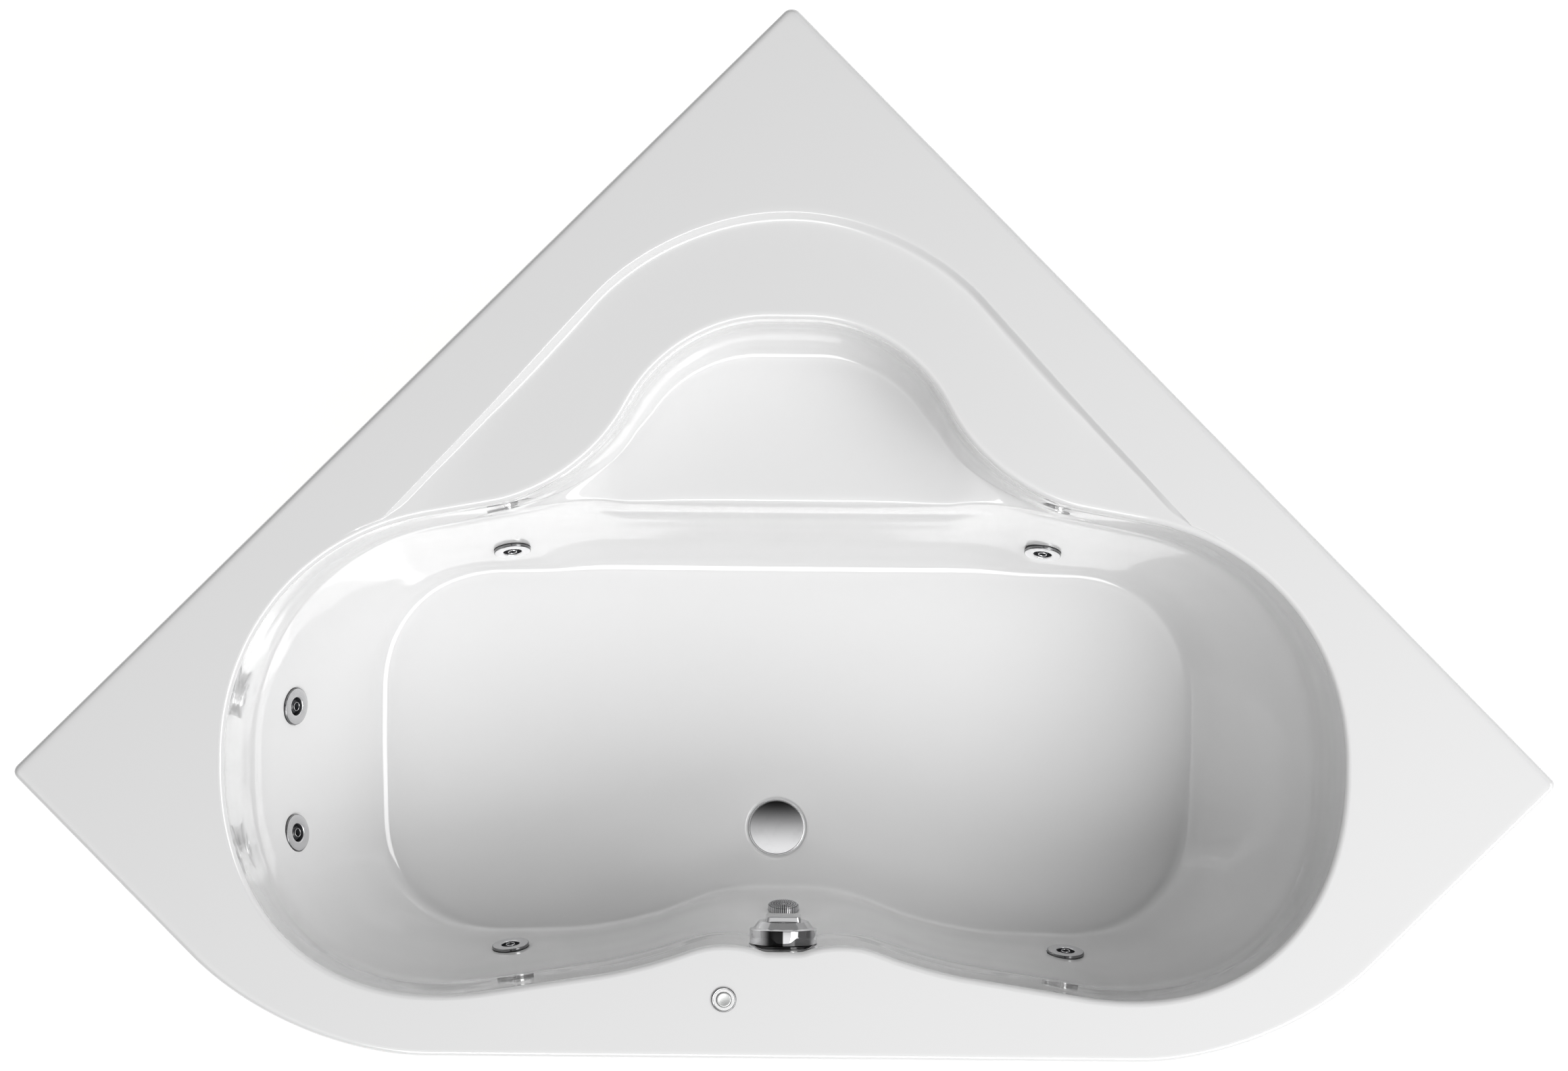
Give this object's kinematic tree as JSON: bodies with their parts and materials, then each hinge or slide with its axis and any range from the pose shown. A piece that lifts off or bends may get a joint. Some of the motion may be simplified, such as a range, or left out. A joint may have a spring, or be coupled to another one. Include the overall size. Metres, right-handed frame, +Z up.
{
  "type": "corner bathtub with massage jets",
  "caption": "White corner bath with massage jets, a waisted basin, moulded seat, corner shelf, drain and overflow knob, on a steel frame with levelling feet and pump.",
  "frame": {"origin": "centre of the bounding box in plan, on the floor that the feet stand on", "axes": "+Z up, +Y towards the corner of the walls, +X to the right as one stands at the front edge"},
  "size_m": [1.9698, 1.343, 0.5754],
  "materials": {
    "acrylic": "gloss white",
    "board": "raw chipboard",
    "zinc_steel": "galvanised",
    "screw_steel": "bright zinc",
    "black_foot": "moulded black",
    "chrome": "polished",
    "black_rubber": "matte",
    "white_pipe": "moulded white",
    "grey_hose": "satin grey",
    "clear_hose": "milky clear",
    "jet_chrome": "satin chrome",
    "pearl_button": "pearl",
    "black_plastic": "moulded",
    "motor_paint": "satin paint",
    "box_plastic": "light grey"
  },
  "bodies": {
    "bath": {"bath_shell": "acrylic", "base_board": "board", "seat_board": "board", "front_rail": "zinc_steel", "back_rail": "zinc_steel", "seat_leg": "zinc_steel", "frame_screws": "screw_steel", "foot_nuts": "screw_steel", "wall_anchor_left": "zinc_steel", "wall_anchor_right": "zinc_steel", "waste_flange": "chrome", "waste_gasket": "black_rubber", "waste_body": "white_pipe", "waste_trap": "white_pipe", "overflow_gasket": "black_rubber", "filler_flange": "chrome", "overflow_body": "white_pipe", "overflow_hose": "grey_hose", "control_cable": "black_plastic", "strainer_cover": "chrome", "suction_body": "white_pipe", "suction_pipe": "white_pipe", "jet_ring_back_right": "jet_chrome", "jet_ring_back_left": "jet_chrome", "jet_ring_side_back": "jet_chrome", "jet_ring_side_front": "jet_chrome", "jet_ring_front_left": "jet_chrome", "jet_ring_front_right": "jet_chrome", "jet_bodies": "white_pipe", "jet_gaskets": "black_rubber", "pressure_pipe": "white_pipe", "air_hose": "clear_hose", "button_bezel": "chrome", "button_bellows": "black_rubber", "button_body": "black_plastic", "air_line": "clear_hose", "pump_housing": "black_plastic", "motor_casing": "motor_paint", "terminal_box": "black_plastic", "pump_tray": "zinc_steel", "control_box": "box_plastic", "cable_gland": "black_plastic"},
    "knob": {"knob_ring": "chrome", "knob_grip": "chrome"},
    "drain_cover": {"drain_plug": "chrome"},
    "button": {"air_button": "pearl_button"},
    "impeller": {"pump_impeller": "black_plastic"},
    "foot_front_left_body": {"foot_front_left": "black_foot"},
    "foot_front_right_body": {"foot_front_right": "black_foot"},
    "foot_back_left_body": {"foot_back_left": "black_foot"},
    "foot_back_right_body": {"foot_back_right": "black_foot"},
    "foot_seat_body": {"foot_seat": "black_foot"},
    "nozzle_back_right": {"jet_nozzle_back_right": "jet_chrome"},
    "nozzle_back_left": {"jet_nozzle_back_left": "jet_chrome"},
    "nozzle_side_back": {"jet_nozzle_side_back": "jet_chrome"},
    "nozzle_side_front": {"jet_nozzle_side_front": "jet_chrome"},
    "nozzle_front_left": {"jet_nozzle_front_left": "jet_chrome"},
    "nozzle_front_right": {"jet_nozzle_front_right": "jet_chrome"}
  },
  "joints": [
    {"name": "level_front_left", "type": "slide", "parent": "bath", "child": "foot_front_left_body", "axis": [0, 0, 1], "range_m": [-0.01, 0.01]},
    {"name": "level_front_right", "type": "slide", "parent": "bath", "child": "foot_front_right_body", "axis": [0, 0, 1], "range_m": [-0.01, 0.01]},
    {"name": "level_back_left", "type": "slide", "parent": "bath", "child": "foot_back_left_body", "axis": [0, 0, 1], "range_m": [-0.01, 0.01]},
    {"name": "level_back_right", "type": "slide", "parent": "bath", "child": "foot_back_right_body", "axis": [0, 0, 1], "range_m": [-0.01, 0.01]},
    {"name": "level_seat", "type": "slide", "parent": "bath", "child": "foot_seat_body", "axis": [0, 0, 1], "range_m": [-0.01, 0.01]},
    {"name": "swivel_back_right", "type": "hinge", "parent": "bath", "child": "nozzle_back_right", "pos_m": [0.33373, -0.0125, 0.22041], "axis": [0.9941, -0.1082, 0], "range_deg": [-12, 12]},
    {"name": "swivel_back_left", "type": "hinge", "parent": "bath", "child": "nozzle_back_left", "pos_m": [-0.35773, -0.01566, 0.22056], "axis": [0.9941, 0.1089, 0], "range_deg": [-12, 12]},
    {"name": "swivel_side_back", "type": "hinge", "parent": "bath", "child": "nozzle_side_back", "pos_m": [-0.64228, -0.22799, 0.29574], "axis": [0.0831, 0.9965, 0], "range_deg": [-12, 12]},
    {"name": "swivel_side_front", "type": "hinge", "parent": "bath", "child": "nozzle_side_front", "pos_m": [-0.63899, -0.39302, 0.29564], "axis": [-0.0944, 0.9955, 0], "range_deg": [-12, 12]},
    {"name": "swivel_front_left", "type": "hinge", "parent": "bath", "child": "nozzle_front_left", "pos_m": [-0.35311, -0.54647, 0.22091], "axis": [-0.9915, -0.1299, 0], "range_deg": [-12, 12]},
    {"name": "swivel_front_right", "type": "hinge", "parent": "bath", "child": "nozzle_front_right", "pos_m": [0.36652, -0.54848, 0.22086], "axis": [-0.9963, 0.0856, 0], "range_deg": [-12, 12]},
    {"name": "knob_turn", "type": "hinge", "parent": "bath", "child": "knob", "pos_m": [0, -0.53339, 0.486], "axis": [0, 0.9974, 0.0715], "range_deg": [0, 90]},
    {"name": "cover_lift", "type": "slide", "parent": "bath", "child": "drain_cover", "axis": [0, 0, 1], "range_m": [0, 0.01]},
    {"name": "button_press", "type": "slide", "parent": "bath", "child": "button", "axis": [0, 0, -1], "range_m": [0, 0.0035], "stiffness_N_per_m": 800, "springref_m": -0.002, "deforming": ["button_bellows"]},
    {"name": "impeller_spin", "type": "hinge", "parent": "bath", "child": "impeller", "pos_m": [0.675, -0.47247, 0.111], "axis": [0, 1, 0], "continuous": true}
  ],
  "couplings": [
    {"joint": "cover_lift", "follows": "knob_turn", "m_per_rad": 0.006366}
  ]
}
